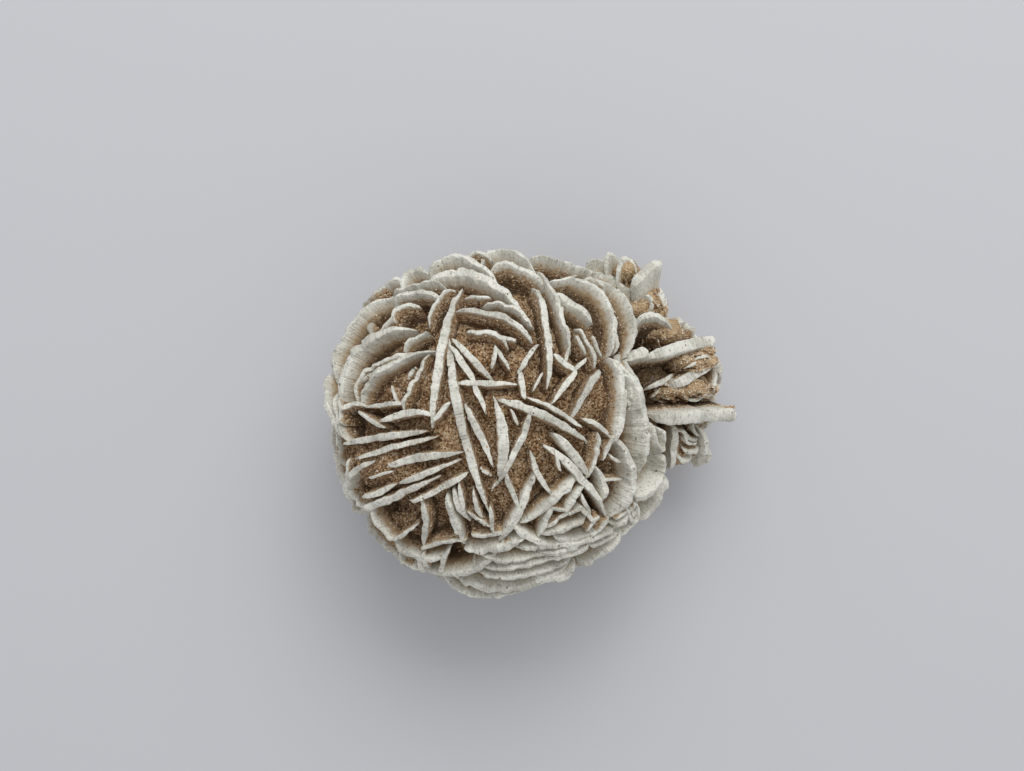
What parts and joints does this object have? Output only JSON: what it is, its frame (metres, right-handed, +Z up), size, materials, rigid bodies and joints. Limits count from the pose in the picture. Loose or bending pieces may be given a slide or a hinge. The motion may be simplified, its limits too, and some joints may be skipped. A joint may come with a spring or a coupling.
{
  "type": "desert rose",
  "caption": "Rounded ball of thin gypsum blades set in sand, with a smaller side cluster of blades and a flat, worn underside.",
  "frame": {"origin": "on the flat underside, below the middle of the outline seen from above", "axes": "+X from the large ball of blades towards the side cluster, +Z up, out of the flat underside"},
  "size_m": [0.07, 0.0592, 0.0439],
  "materials": {
    "gypsum": "chalky blades, granular sand between them"
  },
  "bodies": {
    "root": {"sand_rose": "gypsum"}
  },
  "joints": []
}
